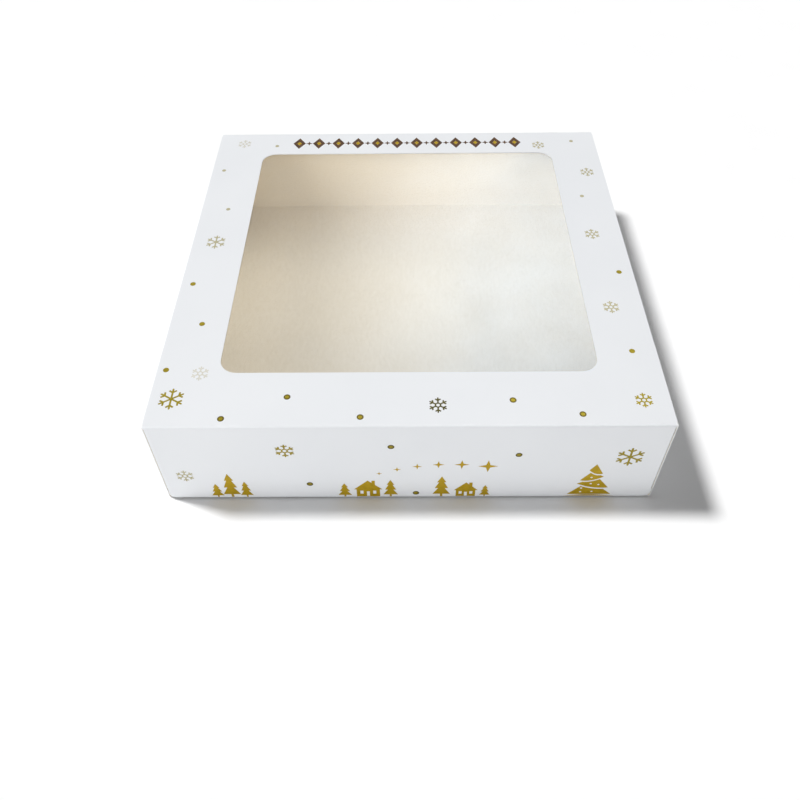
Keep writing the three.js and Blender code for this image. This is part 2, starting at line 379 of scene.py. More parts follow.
def shell(name, outer, inner, closed=False, materials=BOARD_FACES):
    """A board between two grids of points. Its slots are the outer face, the inner face and the edges."""
    rows, columns = len(outer), len(outer[0])
    vertices = [p for row in outer for p in row] + [p for row in inner for p in row]
    under = rows * columns
    spans = columns if closed else columns - 1
    faces, slots = [], []
    rim = []
    for j in range(spans):
        k = (j + 1) % columns
        for i in range(rows - 1):
            quad = (i * columns + j, i * columns + k, (i + 1) * columns + k, (i + 1) * columns + j)
            faces += [quad, tuple(under + v for v in reversed(quad))]
            slots += [0, 1]
        last = (rows - 1) * columns
        rim += [(j, k), (last + k, last + j)]
    if not closed:
        for i in range(rows - 1):
            here, there = i * columns, (i + 1) * columns
            rim += [(there, here), (here + columns - 1, there + columns - 1)]
    for a, b in rim:
        faces.append((b, a, under + a, under + b))
        slots.append(2)
    return make_object(name, vertices, faces, materials, slots)


def fold_path(corners, counts):
    """Points and left normals along a path that is square at its folds, with each fold rounded."""
    corners = [Vector(c) for c in corners]
    legs = [[corners[0]]]
    for before, corner, after in zip(corners, corners[1:], corners[2:]):
        back = (before - corner).normalized()
        ahead = (after - corner).normalized()
        centre = corner + FOLD * (back + ahead)
        arc = []
        for step in range(FOLD_STEPS + 1):
            angle = math.pi / 2 * step / FOLD_STEPS
            arc.append(centre - FOLD * (math.cos(angle) * ahead + math.sin(angle) * back))
        legs[-1].append(arc[0])
        legs.append(arc)
        legs.append([arc[-1]])
    legs[-1].append(corners[-1])
    points = []
    for index, leg in enumerate(legs):
        if index % 2:
            points.extend(leg[1:-1])
            continue
        count = counts[index // 2]
        points.extend(leg[0].lerp(leg[1], i / count) for i in range(count + 1))
    normals = []
    for index, point in enumerate(points):
        along = points[min(index + 1, len(points) - 1)] - points[max(index - 1, 0)]
        along.normalize()
        normals.append(Vector((-along.y, along.x)))
    return points, normals


def folded(name, stations, corners_at, counts, place, shift=None):
    """A folded panel: its section at each station is swept along, with the board left of the path."""
    outer, inner = [], []
    for station in stations:
        points, normals = fold_path(corners_at(station), counts)
        rows = ([], [])
        for point, normal in zip(points, normals):
            for row, offset in zip(rows, (0.0, BOARD)):
                spot = Vector(place(station, point + offset * normal))
                row.append(spot + shift(spot) if shift else spot)
        outer.append(rows[0])
        inner.append(rows[1])
    return shell(name, outer, inner)


def along_x(station, point):
    return (station, point.x, point.y)


def along_y(side):
    return lambda station, point: (side * point.x, station, point.y)


def along_z(side):
    return lambda station, point: (side * point.x, point.y, station)


def plates(name, shapes, place, low, high, materials, slots=(0, 0, 0)):
    """Flat closed plates between two heights. Each shape is an outer loop followed by its holes."""
    vertices, faces, face_slots = [], [], []
    for loops in shapes:
        flat = [p for loop in loops for p in loop]
        start = len(vertices)
        count = len(flat)
        vertices.extend(place(u, v, high) for u, v in flat)
        vertices.extend(place(u, v, low) for u, v in flat)
        for triangle in tessellate_polygon([[Vector((u, v, 0)) for u, v in loop] for loop in loops]):
            faces.append(tuple(start + i for i in triangle))
            faces.append(tuple(start + count + i for i in reversed(triangle)))
            face_slots += [slots[0], slots[1]]
        for loop in loops:
            size = len(loop)
            for i in range(size):
                a, b = start + i, start + (i + 1) % size
                faces.append((a, b, b + count, a + count))
                face_slots.append(slots[2])
            start += size
    return make_object(name, vertices, faces, materials, face_slots)


def ring(half_x, front, back, radius, per_side=28, per_corner=8):
    """Points round a rectangle with round corners, the same number on each side and corner."""
    corners = [
        (half_x - radius, front + radius, -90),
        (half_x - radius, back - radius, 0),
        (radius - half_x, back - radius, 90),
        (radius - half_x, front + radius, 180),
    ]
    arcs = []
    for x, y, start in corners:
        angles = [math.radians(start + 90 * i / per_corner) for i in range(per_corner + 1)]
        arcs.append([Vector((x + radius * math.cos(a), y + radius * math.sin(a))) for a in angles])
    points = []
    for arc, following in zip(arcs, arcs[1:] + arcs[:1]):
        points += arc
        points += [arc[-1].lerp(following[0], i / per_side) for i in range(1, per_side)]
    return points


def window_loop(margin):
    """The window's outline, grown by a margin."""
    return ring(
        WINDOW_SIDE + margin, WINDOW_FRONT - margin, WINDOW_BACK + margin, WINDOW_CORNER + margin
    )


def frame_sheet(name, inside, outside, rings, low, high, materials):
    """A flat frame between two loops."""
    rows = [[a.lerp(b, i / rings) for a, b in zip(inside, outside)] for i in range(rings + 1)]
    outer = [[(p.x, p.y, high) for p in row] for row in rows]
    inner = [[(p.x, p.y, low) for p in row] for row in rows]
    return shell(name, outer, inner, closed=True, materials=materials)


def settle(piece, body, slot, *nodes):
    """The piece rides on a body and stands for the nodes, which it hides. Its slot is not used."""
    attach(piece, body)
    if nodes:
        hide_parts(*nodes)


# Lid, film and its bond


def make_lid():
    edge = ring(LID_SIDE, FRONT + CREASE, BACK - CREASE, LID_CORNER)
    board = frame_sheet("lid_board", window_loop(0), edge, LID_RINGS, TOP - BOARD, TOP, BOARD_FACES)
    settle(board, "lid", "printed_board", "lid_panel")

    loops = (window_loop(BOND_INSIDE), window_loop(BOND_OUTSIDE))
    bond = frame_sheet("film_bond", *loops, BOND_RINGS, BOND_LOW.z, BOND_HIGH.z, (ADHESIVE,) * 3)
    settle(bond, "lid", "adhesive", "window_adhesive")


def film_sag(x, y):
    """The film hangs a little slack and waves away from the window's edge."""
    edge = min(WINDOW_SIDE - abs(x), y - WINDOW_FRONT, WINDOW_BACK - y)
    rate_x, start_x = FILM_WAVE_X
    rate_y, start_y = FILM_WAVE_Y
    wave = math.sin(rate_x * x + start_x) * math.sin(rate_y * y + start_y)
    return -FILM_SAG * smooth(edge / FILM_SAG_REACH) * (1 + FILM_WAVE * wave)


def make_film():
    columns = steps(FILM_LOW.x, FILM_HIGH.x, FILM_STEPS)
    rows = steps(FILM_LOW.y, FILM_HIGH.y, FILM_STEPS)
    outer = [[(x, y, FILM_HIGH.z + film_sag(x, y)) for x in columns] for y in rows]
    inner = [[(x, y, FILM_LOW.z + film_sag(x, y)) for x in columns] for y in rows]
    film = shell("film_sheet", outer, inner, materials=(FILM,) * 3)
    settle(film, "lid", "clear_film", "window_film")
    return film


# Front flap, its ears and the moving creases


def flap_half(z):
    """Half the flap's width: narrow between the ears, wide below them and round at its lower corners."""
    if z >= EAR_LIFT:
        return EAR_FACE - FOLD - FOOT
    rise = FLAP_LIFT + FLAP_CORNER - z
    if rise <= 0:
        return FLAP_CHEEK
    return FLAP_CHEEK - FLAP_CORNER + math.sqrt(max(FLAP_CORNER**2 - rise**2, 0))


def make_flap():
    turns = [math.pi / 2 * i / FOLD_STEPS for i in range(FOLD_STEPS + 1)]
    levels = [FLAP_LIFT + FLAP_CORNER * (1 - math.cos(turn)) for turn in turns]
    levels += [EAR_LIFT - GAP, EAR_LIFT] + steps(EAR_LIFT + FLAP_ROW_START, CREASE_Z, FLAP_ROWS)
    rows = [[(x, z) for x in steps(-flap_half(z), flap_half(z), FLAP_COLUMNS)] for z in levels]
    outer = [[(x, FRONT, z) for x, z in row] for row in rows]
    inner = [[(x, FRONT + BOARD, z) for x, z in row] for row in rows]
    settle(shell("flap_board", outer, inner), "flap", "printed_board", "front_flap")


def ear_rear(z):
    """Rear edge of an ear: a lower edge round the flap's fold, a tapered top and a round corner."""
    pivot_y = FRONT + FOLD * (1 - math.sqrt(0.5))
    pivot_z = TOP - FOLD * (1 - math.sqrt(0.5))
    radius = pivot_z - EAR_LIFT
    swing = pivot_y + math.sqrt(max(radius**2 - (pivot_z - z) ** 2, 0))
    taper = FRONT + (EAR_REAR - FRONT) * clamp((EAR_TOP - z) / EAR_DROP)
    above = z - (EAR_TOP - EAR_DROP - EAR_CORNER)
    inset = EAR_CORNER - math.sqrt(EAR_CORNER**2 - above**2) if 0 < above < EAR_CORNER else 0
    return max(min(EAR_REAR - inset, swing, taper), FRONT + FOLD + FOOT)


def make_ear(side, word):
    ear = folded(
        f"{word}_ear_board",
        steps(EAR_LIFT, CREASE_Z, EAR_STEPS),
        lambda z: [(EAR_FACE - FOLD - FOOT, FRONT), (EAR_FACE, FRONT), (EAR_FACE, ear_rear(z))],
        (1, TAB_SPANS),
        along_z(side),
    )
    settle(ear, "flap", "printed_board", f"{word}_ear")


def round_end(spot):
    """Shift that rounds a crease strip's ends into the folds of the ears or tabs below."""
    out = clamp((abs(spot.x) - EAR_FACE + FOLD) / FOLD)
    inward = FOLD * (1 - math.sqrt(1 - out**2)) * smooth((TOP - spot.z) / CREASE)
    return Vector((0, -math.copysign(inward, spot.y), 0))


def make_crease(name, corners):
    ends = [side * (EAR_FACE - inset) for side in (-1, 1) for inset in CREASE_END_INSETS]
    strip = folded(
        name,
        steps(-EAR_FACE, EAR_FACE, CREASE_STEPS, ends),
        lambda x: corners,
        (CREASE_SPANS, CREASE_SPANS),
        along_x,
        round_end,
    )
    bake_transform(strip)


# Tray


def make_floor():
    side = cad_box[1][0] / MM - FOLD - FOOT
    front, back = TRAY_FRONT + FOLD + FOOT, cad_box[1][1] / MM - FOLD - FOOT
    notch = INNER_FACE - GAP
    half = LOCK_LENGTH / 2 + GAP
    right = [(side, front)]
    for centre in LOCKS:
        low, high = centre - half, centre + half
        right += [(side, low), (notch, low), (notch, high), (side, high)]
    right.append((side, back))
    left = [(-x, y) for x, y in reversed(right)]
    board = plates(
        "floor_board", [[right + left]], lambda x, y, h: (x, y, h), 0, BOARD, BOARD_FACES, (1, 0, 2)
    )
    settle(board, "tray", "bare_board", "base_floor")


def make_end_walls():
    half = EAR_FACE - FOLD - FOOT
    back = folded(
        "back_wall_board",
        steps(-half, half, END_WALL_STEPS),
        lambda x: [(BACK - FOLD - FOOT, 0), (BACK, 0), (BACK, CREASE_Z)],
        (1, WALL_SPANS),
        along_x,
    )
    settle(back, "tray", "printed_board", "base_back_wall")

    half = TAB_FACE - FOLD - FOOT
    front = folded(
        "front_wall_board",
        steps(-half, half, END_WALL_STEPS),
        lambda x: [(TRAY_FRONT, FRONT_WALL_TOP), (TRAY_FRONT, 0), (TRAY_FRONT + FOLD + FOOT, 0)],
        (WALL_SPANS, 1),
        along_x,
    )
    settle(front, "tray", "bare_board", "base_front_wall")


def wall_top(y):
    """Top of a side wall: full height beside the ear's slot, and the rim's foot behind it."""
    return RIM_TOP if y < RIM_FRONT else RIM_FOOT


def inner_top(y):
    """Top of an inner wall. Its front corner is cut back, clear of the flap's crease."""
    return wall_top(y) - CORNER_CUT * clamp((INNER_FRONT + CORNER_CUT - y) / CORNER_CUT)


def wall_foot(y):
    """Lower edge of an inner wall, with the lock tabs that reach through the floor."""
    foot = BOARD + GAP
    for centre in LOCKS:
        inside = LOCK_LENGTH / 2 - abs(y - centre)
        if inside >= 0:
            return foot + (LOCK_TIP - foot) * clamp(inside / LOCK_TAPER)
    return foot


def make_side_wall(side, word):
    rim_steps = (RIM_FRONT - RIM_JOG, RIM_FRONT)
    outer = folded(
        f"{word}_outer_board",
        steps(TRAY_FRONT, BACK, OUTER_WALL_STEPS, rim_steps),
        lambda y: [(SIDE - FOLD - FOOT, 0), (SIDE, 0), (SIDE, wall_top(y))],
        (1, WALL_SPANS),
        along_y(side),
    )
    settle(outer, "tray", "printed_board", f"{word}_outer_wall")

    rim = folded(
        f"{word}_rim_board",
        steps(RIM_FRONT, RIM_BACK, RIM_STEPS),
        lambda y: [(SIDE, RIM_FOOT), (SIDE, RIM_TOP), (INNER_FACE, RIM_TOP), (INNER_FACE, RIM_FOOT)],
        (1, 1, 1),
        along_y(side),
    )
    settle(rim, "tray", "printed_board", f"{word}_top_rim")

    edge_steps = [INNER_FRONT + CORNER_CUT, *rim_steps]
    for centre in LOCKS:
        for inset in (-LOCK_JOG, LOCK_TAPER):
            reach = LOCK_LENGTH / 2 - inset
            edge_steps += [centre - reach, centre + reach]
    inner = folded(
        f"{word}_inner_board",
        steps(INNER_FRONT, INNER_BACK, INNER_WALL_STEPS, edge_steps),
        lambda y: [(INNER_FACE, inner_top(y)), (INNER_FACE, wall_foot(y))],
        (WALL_SPANS,),
        along_y(side),
    )
    settle(inner, "tray", "bare_board", f"{word}_inner_wall")


def tab_end(z, fold_end, far_end):
    """Free edge of a corner tab, tapered at top and bottom and round at its corners."""
    way = math.copysign(1, far_end - fold_end)
    inset = min(z - TAB_LOW, CREASE_Z - z)
    if inset >= TAB_TAPER + TAB_CORNER:
        return far_end
    if inset >= TAB_TAPER:
        side = TAB_TAPER + TAB_CORNER - inset
        return far_end - way * (TAB_CORNER - math.sqrt(TAB_CORNER**2 - side**2))
    corner_start = far_end - way * TAB_CORNER
    return fold_end + (corner_start - fold_end) * max(inset / TAB_TAPER, TAB_LEAST_SHARE)


def make_tabs(side, word):
    levels = steps(TAB_LOW, CREASE_Z, TAB_STEPS)
    front = folded(
        f"front_{word}_tab_board",
        levels,
        lambda z: [
            (TAB_FACE - FOLD - FOOT, TRAY_FRONT),
            (TAB_FACE, TRAY_FRONT),
            (TAB_FACE, tab_end(z, TRAY_FRONT + FOLD + FOOT, FRONT_TAB_END)),
        ],
        (1, TAB_SPANS),
        along_z(side),
    )
    settle(front, "tray", "bare_board", f"front_{word}_tab")

    back = folded(
        f"back_{word}_tab_board",
        levels,
        lambda z: [
            (EAR_FACE, tab_end(z, BACK - FOLD - FOOT, BACK_TAB_END)),
            (EAR_FACE, BACK),
            (EAR_FACE - FOLD - FOOT, BACK),
        ],
        (TAB_SPANS, 1),
        along_z(side),
    )
    settle(back, "tray", "bare_board", f"back_{word}_tab")


make_lid()
film_sheet = make_film()
make_flap()
make_floor()
make_end_walls()
for side_sign, side_word in ((1, "right"), (-1, "left")):
    make_ear(side_sign, side_word)
    make_side_wall(side_sign, side_word)
    make_tabs(side_sign, side_word)
make_crease("flap_crease", [(FRONT + CREASE, TOP), (FRONT, TOP), (FRONT, CREASE_Z)])
make_crease("lid_crease", [(BACK, CREASE_Z), (BACK, TOP), (BACK - CREASE, TOP)])


# Foil motifs, as outlines in the plane of their panel

# Snowflake: place, length and slant of a fork, and a ring's width in half strokes
FORK_AT = 0.60
FORK_LENGTH = 0.33
FORK_ANGLE = 56
RING_HALF_STROKES = 2.2

# Decorated fir: its drift of snow, garlands with the heights of their ends, and baubles on each tier
FIR_DRIFT = 1.5
FIR_FLARE = 1.1
GARLAND_GAP = 1.0
GARLAND_DROOP = 1.6
GARLAND_STEP = 0.14
GARLAND_ENDS = ((0.40, 0.27), (0.50, 0.62), (0.82, 0.71))
BAUBLE_SIZE = 1.2
BAUBLE_SIDES = 12
BAUBLES = [[(-4.6, 3.6), (1.2, 3.9), (-4.6, 7.0)], [(3.6, 10.2), (-0.4, 11.0)], [(-0.9, 16.6)], []]
DRIFT_REACH = 0.60
DRIFT_RISE = 0.8
DRIFT_EDGE = 0.01

# Small fir: trunk and foot, and how its tiers shrink and narrow
TRUNK_SHARE = 0.07
FOOT_SHARE = 0.12
TIER_SHRINK = 0.24
TIER_WAIST = 0.38
TIERS = 3

# Cottage: shares of its half width, wall and roof, and in mm the chimney's sides and the openings' halves
EAVE_SHARE = 1.22
CHIMNEY_AT = 0.42
CHIMNEY_LEFT = 0.6
CHIMNEY_RIGHT = 1.1
CHIMNEY_TOP = 0.98
PANE_AT = 0.55
PANE_HALF = 0.8
PANE_LOW = 0.38
PANE_HIGH = 0.82
DOOR_HALF = 0.75
DOOR_SILL = 0.35
DOOR_HIGH = 0.72

# Inner radius of a star, as a share of the outer one
STAR_WAIST = 0.3


def polar(x, y, radius, degrees):
    angle = math.radians(degrees)
    return (x + radius * math.cos(angle), y + radius * math.sin(angle))


def disc(x, y, size, sides=24):
    return [polar(x, y, size / 2, 360 * i / sides) for i in range(sides)]


def star(x, y, size, waist=STAR_WAIST):
    """A star of four points with straight edges, one point upright."""
    radii = (size / 2, size / 2 * waist)
    return [polar(x, y, radii[i % 2], 90 + 45 * i) for i in range(8)]


def snowflake(x, y, size, hub, stroke):
    """A flake with six forked arms on a hub, one arm upright. A wide hub is an open ring."""
    reach = size / 2
    half = stroke * reach
    hub_radius = hub * reach
    fork_at = FORK_AT * reach
    fork_length = FORK_LENGTH * reach
    cos = math.cos(math.radians(FORK_ANGLE))
    sin = math.sin(math.radians(FORK_ANGLE))
    near = half * (1 - cos) / sin
    far = half * (1 + cos) / sin
    profile = [
        (hub_radius - half / math.sqrt(3), half),
        (fork_at - half * sin + near * cos, half),
        (fork_at - half * sin + fork_length * cos, half * cos + fork_length * sin),
        (fork_at + half * sin + fork_length * cos, fork_length * sin - half * cos),
        (fork_at + half * sin + far * cos, half),
        (reach - half, half),
    ]
    arm = [(r, -s) for r, s in profile] + [(reach, 0)] + profile[::-1]
    outline = []
    for index in range(6):
        angle = math.radians(90 + 60 * index)
        across, up = math.cos(angle), math.sin(angle)
        outline += [(x + r * across - s * up, y + r * up + s * across) for r, s in arm]
    hole = hub_radius - RING_HALF_STROKES * half
    if hole < half:
        return [outline]
    return [outline, [polar(x, y, hole, 90 + 60 * i) for i in range(6)]]


def garland(left, right, droop, inset=0.0, count=14):
    """A hanging line between two ends, or its stretch that starts and stops an inset share from them."""
    points = []
    for i in range(count + 1):
        t = inset + (1 - 2 * inset) * i / count
        spot = Vector(left).lerp(Vector(right), t)
        points.append((spot.x, spot.y - droop * 4 * t * (1 - t)))
    return points


def decorated_fir(x, base, width, height):
    """A fir of four tiers parted by hanging garlands, with round baubles, on a low drift of snow."""

    def half_at(level):
        return width / 2 * (FIR_FLARE - level / height)

    bottoms = [[(-half_at(FIR_DRIFT), FIR_DRIFT), (half_at(FIR_DRIFT), FIR_DRIFT)]]
    tops = []
    for left, right in GARLAND_ENDS:
        low, high = left * height, right * height
        ends = (-half_at(low), low), (half_at(high), high)
        tops.append([(u, v - GARLAND_GAP) for u, v in garland(*ends, GARLAND_DROOP, GARLAND_STEP)])
        bottoms.append(garland(*ends, GARLAND_DROOP))
    tops.append([(0, height)])
    shapes = []
    for bottom, top, spots in zip(bottoms, tops, BAUBLES):
        loops = [bottom + top[::-1]] + [disc(u, v, BAUBLE_SIZE, BAUBLE_SIDES) for u, v in spots]
        shapes.append([[(x + u, base + v) for u, v in loop] for loop in loops])
    reach = width * DRIFT_REACH
    shapes.append([lens(x - reach, x + reach, base, FIR_DRIFT * DRIFT_RISE)])
    return shapes


def lens(left, right, base, height, count=16):
    """A low drift: flat below and curved above."""
    curve = []
    for i in range(count + 1):
        t = i / count
        curve.append((right + (left - right) * t, base + height * math.sin(math.pi * t)))
    return [(left, base - DRIFT_EDGE), (right, base - DRIFT_EDGE)] + curve[1:-1]


def small_fir(x, base, width, height):
    """A fir of stepped tiers on a trunk."""
    trunk = TRUNK_SHARE * width
    foot = FOOT_SHARE * height
    right = [(trunk, 0.0), (trunk, foot)]
    for tier in range(TIERS):
        low = foot + (height - foot) * tier / TIERS
        high = foot + (height - foot) * (tier + 1) / TIERS
        reach = width / 2 * (1 - TIER_SHRINK * tier)
        right.append((reach, low))
        right.append((reach * TIER_WAIST if tier + 1 < TIERS else 0.0, high))
    left = [(-u, v) for u, v in reversed(right[:-1])]
    return [[(x + u, base + v) for u, v in right + left]]


def rectangle(left, right, low, high):
    return [(left, low), (right, low), (right, high), (left, high)]


def cottage(x, base, width, wall, roof):
    """A gabled cottage with a chimney, two windows and a door."""
    half = width / 2
    eave = half * EAVE_SHARE
    slope = roof / eave
    chimney = half * CHIMNEY_AT
    chimney_top = wall + roof * CHIMNEY_TOP
    outline = [
        (-half, 0),
        (half, 0),
        (half, wall),
        (eave, wall),
        (chimney + CHIMNEY_RIGHT, wall + slope * (eave - chimney - CHIMNEY_RIGHT)),
        (chimney + CHIMNEY_RIGHT, chimney_top),
        (chimney - CHIMNEY_LEFT, chimney_top),
        (chimney - CHIMNEY_LEFT, wall + slope * (eave - chimney + CHIMNEY_LEFT)),
        (0, wall + roof),
        (-eave, wall),
        (-half, wall),
    ]
    loops = [outline]
    for centre in (-half * PANE_AT, half * PANE_AT):
        loops.append(rectangle(centre - PANE_HALF, centre + PANE_HALF, wall * PANE_LOW, wall * PANE_HIGH))
    loops.append(rectangle(-DOOR_HALF, DOOR_HALF, DOOR_SILL, wall * DOOR_HIGH))
    return [[(x + u, base + v) for u, v in loop] for loop in loops]


def diamond(x, y, width, height):
    return [(x + width / 2, y), (x, y + height / 2), (x - width / 2, y), (x, y - height / 2)]


# Layout of the foil prints, by the tone of their foil: flakes and stars are (u, v, size), dots (u, v)

# A dot's size takes in its dark ring of painted edge shade round the core.
DOT_SIZE = 3.3
DOT_CORE = 1.9
INLAY_GAP = 0.05
PLAIN_DOT_SIZE = 3.0
PALE_DOT_SIZE = 2.5

# Hub and stroke of a flake, as shares of its reach, and the size below which it has a ring
FORKED = (0.19, 0.070)
RINGED = (0.37, 0.078)
RING_BELOW = 11.0

# The dark olive flake at the middle of the lid's front is painted dark reflection.
LID_OLIVE_FLAKES = [(13.8, -112.0, 9.6)]
# The flakes at the lid's front corners are darker gold, their darkness painted dark reflection.
LID_DARK_GOLD_FLAKES = [(-113.9, -107.5, 13.2), (111.7, -109.5, 9.3)]
# The pale flakes and dots of the lid and the flap are painted reflection of bright light.
LID_PALE_FLAKES = [
    (-111.1, 10.3, 12.0),
    (86.8, 109.1, 9.0),
    (114.2, 77.9, 9.4),
    (107.3, 15.6, 9.4),
    (107.4, -45.7, 9.4),
]
# Two flakes whitened by painted glare.
LID_GLARE_FLAKES = [(-108.0, 112.8, 9.4), (-102.8, -91.3, 9.4)]
LID_EDGE_SHADED_DOTS = [(-88.3, -119.7), (-58.4, -106.6), (-22.9, -119.0), (49.6, -109.1), (81.5, -117.8)]
LID_PLAIN_DOTS = [(-118.0, -25.7), (-107.7, -56.8), (-120.1, -88.9), (112.3, -77.6), (116.8, -17.8)]
LID_PALE_DOTS = [(-86.1, 110.0), (-117.3, 82.3), (-108.6, 41.5), (107.1, 52.5), (109.2, 113.6)]
FLAP_PALE_FLAKES = [(-112.4, 20.5, 9.6)]
FLAP_DARK_GOLD_FLAKES = [(-60.0, 41.5, 10.4), (107.3, 35.4, 14.8)]
FLAP_DOTS = [(-8.7, 44.4), (53.2, 37.5), (-50.4, 12.9), (3.5, 4.4)]
FLAP_STARS = [(-15, 22, 3), (-6, 25.5, 3.8), (4, 28, 4.8), (14.5, 29.5, 6), (26, 29.5, 7.4), (39, 28, 10)]

# Scene on the flap: firs are (u, width, height), cottages (u, width, wall height, roof height)
FLAP_SCENE_LIFT = 0.3
FLAP_BASE = FLAP_LIFT + FLAP_SCENE_LIFT
FLAP_FIRS = [
    (-98.7, 6.5, 12),
    (-91.3, 9, 21),
    (-83.7, 6.5, 14),
    (-33, 7, 12),
    (-9.5, 7.5, 15),
    (16.5, 9, 18),
    (38.8, 5.5, 10),
]
FLAP_COTTAGES = [(-21, 12, 6.5, 8), (29, 10, 5.5, 7)]
FLAP_DECORATED_FIR = (92.5, 21.5, 28)

SIDE_FLAKES = [(-92, 40, 9.5), (-36, 20, 13), (26, 43, 9), (84, 22, 12)]
SIDE_DOTS = [(-112, 20), (-66, 45), (-60, 11), (-8, 42), (4, 13), (54, 31), (62, 51), (104, 46), (111, 11)]
BACK_FLAKES = [(-84, 38, 12), (-14, 19, 9.5), (66, 41, 13)]
BACK_DOTS = [(-112, 17), (-58, 15), (-40, 46), (12, 44), (33, 14), (92, 17), (110, 48)]

# Band along the lid's back
BAND_Y = 112.8
BAND_PITCH = 13.0
BAND_UNITS = 12
BAND_DIAMOND = (8.2, 12.5)
BAND_HOLE = (3.1, 4.2)
BAND_INLAY = (3.0, 4.0)
BAND_STAR = 4.5
BAND_STAR_WAIST = 0.4


def flakes_of(rows):
    return [snowflake(*row, *(RINGED if row[2] < RING_BELOW else FORKED)) for row in rows]


def discs_of(spots, size):
    return [[disc(u, v, size)] for u, v in spots]


def print_panel(word, body, place, edge_shaded_dots, **motifs):
    """One panel's foil prints: dots ringed with painted shade at their edges, and motifs by the tone of
    their foil.
    """
    dot_edge_shades = [[disc(u, v, DOT_SIZE), disc(u, v, DOT_CORE + INLAY_GAP)] for u, v in edge_shaded_dots]
    prints = {"dull": discs_of(edge_shaded_dots, DOT_CORE), "rim": dot_edge_shades}
    for tone, shapes in motifs.items():
        prints[tone] = prints.get(tone, []) + shapes
    for tone, shapes in prints.items():
        sheet = plates(f"{word}_{tone}_print", shapes, place, -INK, INK, (FOILS[tone],))
        settle(sheet, body, "printed_board")


def on_lid(x, y, h):
    return (x, y, TOP + h)


def on_flap(x, z, h):
    return (x, FRONT - h, z)


def on_back(x, z, h):
    return (-x, BACK + h, z)


def on_side(side):
    return lambda y, z, h: (side * (SIDE + h), side * y, z)


def border_band():
    """A row of inlaid diamonds with small stars between them, along the lid's back. Their dark parts are
    painted dark reflection; the inlays are plain gold.
    """
    dark, bright = [], []
    for index in range(BAND_UNITS):
        x = (index - (BAND_UNITS - 1) / 2) * BAND_PITCH
        dark.append([diamond(x, BAND_Y, *BAND_DIAMOND), diamond(x, BAND_Y, *BAND_HOLE)])
        bright.append([diamond(x, BAND_Y, *BAND_INLAY)])
        if index < BAND_UNITS - 1:
            dark.append([star(x + BAND_PITCH / 2, BAND_Y, BAND_STAR, BAND_STAR_WAIST)])
    return dark, bright


def flap_scene():
    """A row of firs and cottages along the flap's lower edge, with a trail of stars over them."""
    shapes = [small_fir(u, FLAP_BASE, *sizes) for u, *sizes in FLAP_FIRS]
    shapes += [cottage(u, FLAP_BASE, *sizes) for u, *sizes in FLAP_COTTAGES]
    fir_at, *fir_sizes = FLAP_DECORATED_FIR
    shapes += decorated_fir(fir_at, FLAP_BASE, *fir_sizes)
    shapes += [[star(*row)] for row in FLAP_STARS]
    return shapes


band_dark, band_bright = border_band()
print_panel(
    "lid",
    "lid",
    on_lid,
    LID_EDGE_SHADED_DOTS,
    gold=band_bright,
    # darker gold, painted dark reflection where it lies on the lid's front
    dull=flakes_of(LID_DARK_GOLD_FLAKES) + discs_of(LID_PLAIN_DOTS, PLAIN_DOT_SIZE),
    # paler gold: painted reflection of bright light
    pale=flakes_of(LID_PALE_FLAKES) + discs_of(LID_PALE_DOTS, PALE_DOT_SIZE),
    # nearly white gold: painted glare
    worn=flakes_of(LID_GLARE_FLAKES),
    # very dark gold: painted dark reflection
    olive=flakes_of(LID_OLIVE_FLAKES),
    # the band's dark parts: painted dark reflection
    bronze=band_dark,
)
print_panel(
    "flap",
    "flap",
    on_flap,
    FLAP_DOTS,
    gold=flap_scene(),
    dull=flakes_of(FLAP_DARK_GOLD_FLAKES),
    # paler gold: painted reflection of bright light
    pale=flakes_of(FLAP_PALE_FLAKES),
)
print_panel("right_wall", "tray", on_side(1), SIDE_DOTS, gold=flakes_of(SIDE_FLAKES))
print_panel("left_wall", "tray", on_side(-1), SIDE_DOTS, gold=flakes_of(SIDE_FLAKES))
print_panel("back_wall", "tray", on_back, BACK_DOTS, gold=flakes_of(BACK_FLAKES))


# Camera, light and floor

# The camera stands at a place in mm, its turns are in degrees, and the shift is a share of the frame
CAMERA_PLACE = (-1.264, -346.867, 349.081)
CAMERA_PITCH = 47.97
CAMERA_YAW = -0.663
CAMERA_ROLL = -0.768
CAMERA_LENS = 35.305
CAMERA_SENSOR = 36.0
CAMERA_SHIFT_Y = -35 / 800
CAMERA_NEAR = 0.01

# Light from all sides, the floor's own glow as it shows, and half its width in metres
AMBIENT = 0.20
FLOOR_GLOW = 0.03
FLOOR_REACH = 6.0


def place_camera():
    pitch, yaw, roll = (math.radians(a) for a in (CAMERA_PITCH, CAMERA_YAW, CAMERA_ROLL))
    ahead = math.cos(pitch)
    forward = Vector((math.sin(yaw) * ahead, math.cos(yaw) * ahead, -math.sin(pitch)))
    level = Vector((math.cos(yaw), -math.sin(yaw), 0))
    upright = level.cross(forward)
    right = math.cos(roll) * level + math.sin(roll) * upright
    up = math.cos(roll) * upright - math.sin(roll) * level
    turn = Matrix((right, up, -forward)).transposed().to_4x4()
    data = bpy.data.cameras.new("camera")
    data.lens = CAMERA_LENS
    data.sensor_width = CAMERA_SENSOR
    data.shift_y = CAMERA_SHIFT_Y
    data.clip_start = CAMERA_NEAR
    camera = bpy.data.objects.new("camera", data)
    camera.matrix_world = Matrix.Translation(Vector(CAMERA_PLACE) * MM) @ turn
    bpy.context.scene.collection.objects.link(camera)
    bpy.context.scene.camera = camera


def add_lamp(data, place, lit):
    """A lamp that faces the box and lights a group of things."""
    lamp = bpy.data.objects.new(data.name, data)
    lamp.location = place
    lamp.rotation_euler = (-Vector(place)).to_track_quat("-Z", "Y").to_euler()
    lamp.light_linking.receiver_collection = lit
    bpy.context.scene.collection.objects.link(lamp)


